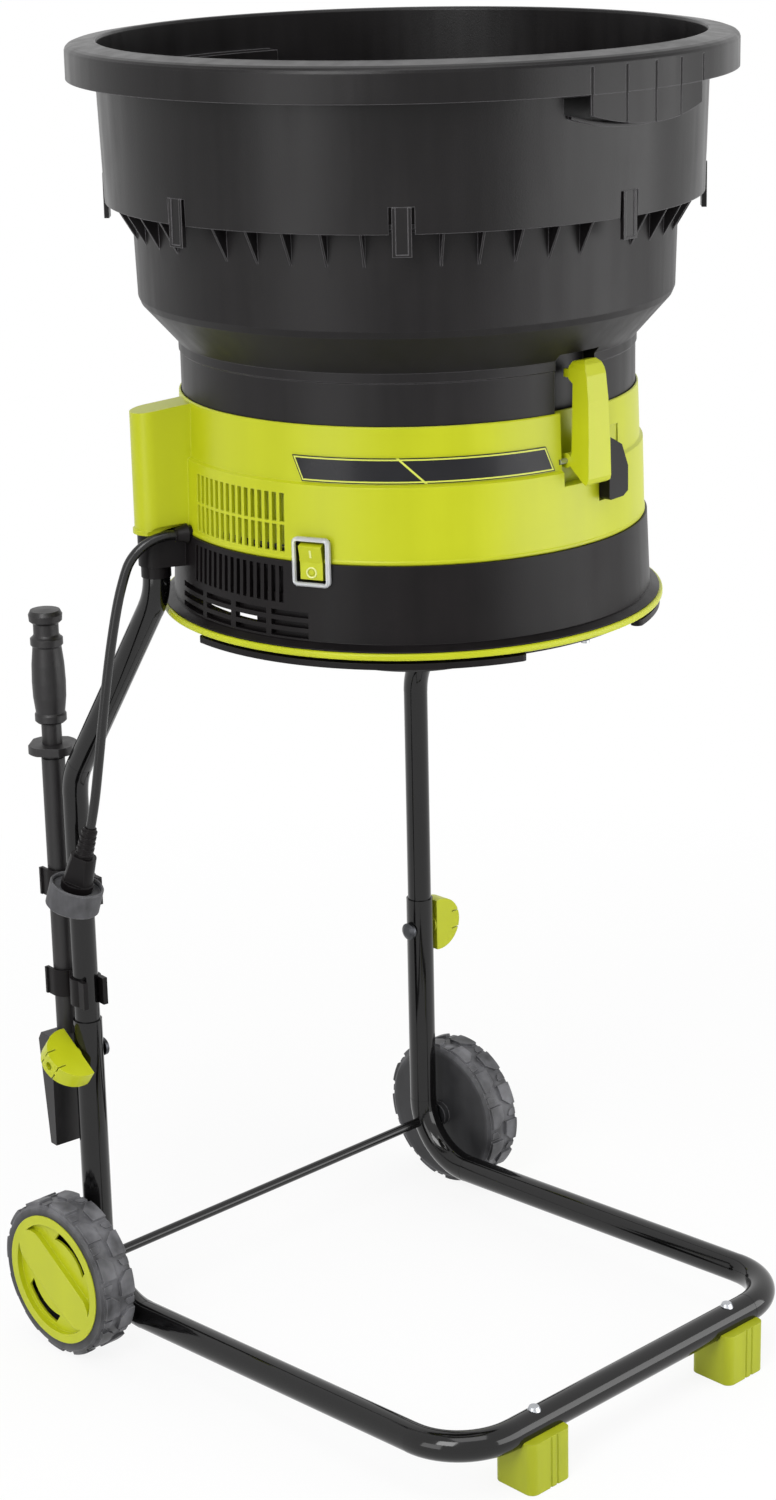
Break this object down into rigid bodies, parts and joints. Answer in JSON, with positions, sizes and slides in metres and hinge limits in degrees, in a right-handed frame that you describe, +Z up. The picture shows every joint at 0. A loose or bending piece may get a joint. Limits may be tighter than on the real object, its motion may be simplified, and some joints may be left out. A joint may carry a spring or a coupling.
{
  "type": "leaf shredder",
  "caption": "Electric leaf shredder: wide round hopper over a drum housing with line cutter, on a bent-tube stand with wheels, feet, latches, rocker switch, short cord and a clip-on pusher.",
  "frame": {"origin": "middle of the footprint on the floor, cord and plug left out", "axes": "+Z up, -Y towards the front bar with the feet, +Y towards the wheels, -X the side with the pusher and the cord"},
  "size_m": [0.6002, 0.5982, 1.255],
  "materials": {
    "lime_plastic": "moulded satin",
    "grey_plastic": "moulded fine texture",
    "black_plastic": "moulded fine texture",
    "label_film": "plain film",
    "cord_jacket": "matt jacket",
    "clear_plastic": "clear moulded",
    "tube_paint": "powder coat",
    "steel": "zinc plated",
    "winding": "varnished winding",
    "line_plastic": "extruded line"
  },
  "bodies": {
    "stand": {"housing_upper": "lime_plastic", "trim_ring": "lime_plastic", "foot_left": "lime_plastic", "foot_right": "lime_plastic", "hopper_upper": "grey_plastic", "hopper_lower": "grey_plastic", "plug_shroud": "grey_plastic", "housing_lower": "black_plastic", "bag_ring": "black_plastic", "motor_spider": "black_plastic", "cup_cap": "black_plastic", "cord_gland": "black_plastic", "plug_body": "black_plastic", "tool_clip_upper": "black_plastic", "tool_clip_lower": "black_plastic", "label_plate": "label_film", "cord": "cord_jacket", "switch_frame": "clear_plastic", "lower_frame": "tube_paint", "leg_left": "tube_paint", "leg_right": "tube_paint", "axle_rod": "tube_paint", "housing_screws": "steel", "motor_can": "steel", "bearing_lower": "steel", "bearing_upper": "steel", "lever_pins": "steel", "plug_blades": "steel", "leg_bolts": "steel", "leg_screws": "steel", "axle_nuts": "steel", "foot_screws": "steel", "field_core": "winding"},
    "cutter": {"motor_shaft": "steel", "armature": "winding", "fan": "black_plastic", "line_head": "black_plastic", "cutting_lines": "line_plastic", "head_nut": "steel"},
    "rocker": {"switch_rocker": "lime_plastic"},
    "latch_front": {"lever_front": "lime_plastic"},
    "latch_rear": {"lever_rear": "lime_plastic"},
    "slide_lock_front": {"lock_front": "black_plastic"},
    "slide_lock_rear": {"lock_rear": "black_plastic"},
    "wing_left": {"knob_left": "lime_plastic"},
    "wing_right": {"knob_right": "lime_plastic"},
    "roller_left": {"wheel_left": "black_plastic", "hub_cover_left": "lime_plastic"},
    "roller_right": {"wheel_right": "black_plastic", "hub_cover_right": "lime_plastic"},
    "pusher": {"tool_grip": "black_plastic", "tool_guard": "black_plastic", "tool_tube": "black_plastic", "tool_paddle": "black_plastic"}
  },
  "joints": [
    {"name": "wheel_left_spin", "type": "hinge", "parent": "stand", "child": "roller_left", "pos_m": [-0.2667, 0.22112, 0.078], "axis": [1, 0, 0], "continuous": true},
    {"name": "wheel_right_spin", "type": "hinge", "parent": "stand", "child": "roller_right", "pos_m": [0.2667, 0.22112, 0.078], "axis": [1, 0, 0], "continuous": true},
    {"name": "cutter_spin", "type": "hinge", "parent": "stand", "child": "cutter", "pos_m": [0, -0.002, 0.9], "axis": [0, 0, 1], "continuous": true},
    {"name": "rocker_tilt", "type": "hinge", "parent": "stand", "child": "rocker", "pos_m": [-0.1954, -0.08294, 0.832], "axis": [0.3827, -0.9239, 0], "range_deg": [-14, 0]},
    {"name": "latch_front_swing", "type": "hinge", "parent": "stand", "child": "latch_front", "pos_m": [0, -0.207, 0.906], "axis": [1, 0, 0], "range_deg": [0, 30]},
    {"name": "latch_rear_swing", "type": "hinge", "parent": "stand", "child": "latch_rear", "pos_m": [0, 0.203, 0.906], "axis": [-1, 0, 0], "range_deg": [0, 30]},
    {"name": "lock_front_slide", "type": "slide", "parent": "stand", "child": "slide_lock_front", "axis": [1, 0, 0], "range_m": [0, 0.008]},
    {"name": "lock_rear_slide", "type": "slide", "parent": "stand", "child": "slide_lock_rear", "axis": [-1, 0, 0], "range_m": [0, 0.008]},
    {"name": "knob_left_turn", "type": "hinge", "parent": "stand", "child": "wing_left", "pos_m": [-0.24, 0.226, 0.298], "axis": [1, 0, 0], "continuous": true},
    {"name": "knob_right_turn", "type": "hinge", "parent": "stand", "child": "wing_right", "pos_m": [0.24, 0.226, 0.298], "axis": [1, 0, 0], "continuous": true},
    {"name": "pusher_pull", "type": "slide", "parent": "stand", "child": "pusher", "axis": [0.1045, 0.9945, 0], "range_m": [0, 0.06]}
  ]
}
